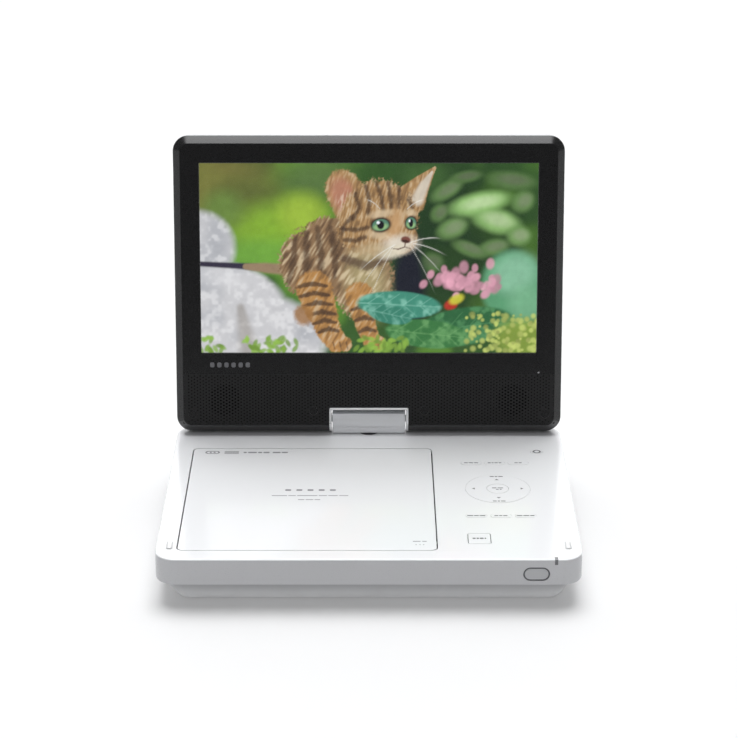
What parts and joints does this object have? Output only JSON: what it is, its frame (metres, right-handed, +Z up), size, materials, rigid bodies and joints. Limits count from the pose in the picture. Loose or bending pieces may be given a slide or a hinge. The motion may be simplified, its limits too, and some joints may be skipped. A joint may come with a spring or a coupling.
{
  "type": "portable disc player",
  "caption": "Portable disc player: low base with a hinged disc door, keys and sockets, and a flat screen lid on a block that tilts and swivels.",
  "frame": {"origin": "middle of the whole player's footprint, lid open, at the level of the feet", "axes": "+X to the user's right along the width, -Y towards the user, +Z up"},
  "size_m": [0.2282, 0.2072, 0.2028],
  "materials": {
    "white_gloss": "high gloss moulded",
    "case_grey": "fine matt moulding",
    "lid_black": "satin black",
    "grille_black": "matt black, perforated",
    "hinge_silver": "satin silver",
    "collar_black": "black",
    "steel": "bright",
    "rubber_black": "matt",
    "pad_grey": "soft translucent grey",
    "drive_black": "fine matt moulding",
    "board_green": "solder mask",
    "battery_wrap": "printed film over metal cells",
    "panel_frame": "plastic light sheets in a thin silver frame",
    "screen_glass": "lit picture under clear film",
    "lens_glass": "coated",
    "window_smoke": "smoked clear",
    "speaker_metal": "black"
  },
  "bodies": {
    "base": {"base_top_cover": "white_gloss", "base_bottom_case": "case_grey", "base_screws": "steel", "rubber_feet": "rubber_black", "battery_pack": "battery_wrap", "battery_cover": "case_grey", "main_board": "board_green", "key_board": "board_green", "tact_switches": "drive_black", "side_board": "board_green", "disc_well": "drive_black", "traverse_chassis": "drive_black", "chassis_dampers": "rubber_black", "spindle_motor": "steel", "guide_rods": "steel", "sled_motor": "steel", "ir_window": "window_smoke", "ir_receiver": "drive_black", "led_light_pipe": "window_smoke", "jack_plate": "white_gloss", "audio_jacks": "drive_black", "dc_jack": "drive_black", "lid_pads": "pad_grey", "swivel_base_plate": "steel", "power_ring": "drive_black"},
    "door": {"disc_door": "white_gloss", "door_hinge_pins": "steel"},
    "latch": {"door_latch": "drive_black"},
    "open_key": {"open_key": "white_gloss"},
    "power_button": {"power_button": "white_gloss"},
    "upper_key_left": {"upper_key_left": "white_gloss"},
    "upper_key_middle": {"upper_key_middle": "white_gloss"},
    "upper_key_right": {"upper_key_right": "white_gloss"},
    "lower_key_left": {"lower_key_left": "white_gloss"},
    "lower_key_middle": {"lower_key_middle": "white_gloss"},
    "lower_key_right": {"lower_key_right": "white_gloss"},
    "nav_gimbal": {"nav_gimbal": "steel"},
    "nav_ring": {"nav_ring": "white_gloss"},
    "enter_key": {"enter_key": "white_gloss"},
    "turntable": {"turntable": "drive_black"},
    "pickup": {"pickup_sled": "drive_black", "objective_lens": "lens_glass"},
    "lead_screw": {"lead_screw": "steel"},
    "volume_wheel": {"volume_wheel": "drive_black"},
    "swivel": {"swivel_shaft": "collar_black", "swivel_nut": "steel", "hinge_cover_upper": "hinge_silver", "hinge_cover_lower": "hinge_silver", "tilt_bracket": "steel"},
    "lid": {"front_bezel": "lid_black", "speaker_grille": "grille_black", "rear_cover": "white_gloss", "lcd_panel": "panel_frame", "lcd_glass": "screen_glass", "lcd_board": "board_green", "speakers": "speaker_metal", "tilt_shafts": "steel", "lid_screws": "steel", "screw_caps": "drive_black", "lid_led": "window_smoke"}
  },
  "joints": [
    {"name": "lid_swivel", "type": "hinge", "parent": "base", "child": "swivel", "pos_m": [0, 0.06505, 0.0366], "axis": [0, 0, 1], "range_deg": [-180, 0]},
    {"name": "lid_tilt", "type": "hinge", "parent": "swivel", "child": "lid", "pos_m": [0, 0.06505, 0.0366], "axis": [-1, 0, 0], "range_deg": [-101.1, 78.9]},
    {"name": "disc_door_hinge", "type": "hinge", "parent": "base", "child": "door", "pos_m": [-0.033, 0.03775, 0.0273], "axis": [-1, 0, 0], "range_deg": [0, 65]},
    {"name": "open_key_press", "type": "slide", "parent": "base", "child": "open_key", "axis": [0, 0, -1], "range_m": [0, 0.0008], "stiffness_N_per_m": 2500},
    {"name": "latch_slide", "type": "slide", "parent": "base", "child": "latch", "axis": [1, 0, 0], "range_m": [0, 0.0012]},
    {"name": "power_button_press", "type": "slide", "parent": "base", "child": "power_button", "axis": [0, 0, -1], "range_m": [0, 0.0005], "stiffness_N_per_m": 2500},
    {"name": "upper_key_left_press", "type": "slide", "parent": "base", "child": "upper_key_left", "axis": [0, 0, -1], "range_m": [0, 0.0005], "stiffness_N_per_m": 2500},
    {"name": "upper_key_middle_press", "type": "slide", "parent": "base", "child": "upper_key_middle", "axis": [0, 0, -1], "range_m": [0, 0.0005], "stiffness_N_per_m": 2500},
    {"name": "upper_key_right_press", "type": "slide", "parent": "base", "child": "upper_key_right", "axis": [0, 0, -1], "range_m": [0, 0.0005], "stiffness_N_per_m": 2500},
    {"name": "lower_key_left_press", "type": "slide", "parent": "base", "child": "lower_key_left", "axis": [0, 0, -1], "range_m": [0, 0.0005], "stiffness_N_per_m": 2500},
    {"name": "lower_key_middle_press", "type": "slide", "parent": "base", "child": "lower_key_middle", "axis": [0, 0, -1], "range_m": [0, 0.0005], "stiffness_N_per_m": 2500},
    {"name": "lower_key_right_press", "type": "slide", "parent": "base", "child": "lower_key_right", "axis": [0, 0, -1], "range_m": [0, 0.0005], "stiffness_N_per_m": 2500},
    {"name": "nav_tilt_fore_aft", "type": "hinge", "parent": "base", "child": "nav_gimbal", "pos_m": [0.0728, -0.01595, 0.0242], "axis": [1, 0, 0], "range_deg": [-1.5, 1.5], "stiffness_Nm_per_rad": 1.5},
    {"name": "nav_tilt_sideways", "type": "hinge", "parent": "nav_gimbal", "child": "nav_ring", "pos_m": [0.0728, -0.01595, 0.0242], "axis": [0, 1, 0], "range_deg": [-1.5, 1.5], "stiffness_Nm_per_rad": 1.5},
    {"name": "enter_key_press", "type": "slide", "parent": "base", "child": "enter_key", "axis": [0, 0, -1], "range_m": [0, 0.0005], "stiffness_N_per_m": 2500},
    {"name": "turntable_spin", "type": "hinge", "parent": "base", "child": "turntable", "pos_m": [-0.033, -0.0266, 0.0223], "axis": [0, 0, 1], "continuous": true},
    {"name": "pickup_slide", "type": "slide", "parent": "base", "child": "pickup", "axis": [0, -1, 0], "range_m": [0, 0.034]},
    {"name": "lead_screw_spin", "type": "hinge", "parent": "base", "child": "lead_screw", "pos_m": [-0.0115, -0.06365, 0.0126], "axis": [0, 1, 0], "range_deg": [0, 4080]},
    {"name": "volume_wheel_turn", "type": "hinge", "parent": "base", "child": "volume_wheel", "pos_m": [0.1069, -0.06365, 0.0205], "axis": [0, 0, 1], "range_deg": [-140, 140]}
  ],
  "couplings": [
    {"joint": "latch_slide", "follows": "open_key_press", "ratio": 1.5},
    {"joint": "lead_screw_spin", "follows": "pickup_slide", "rad_per_m": 2094.4}
  ]
}
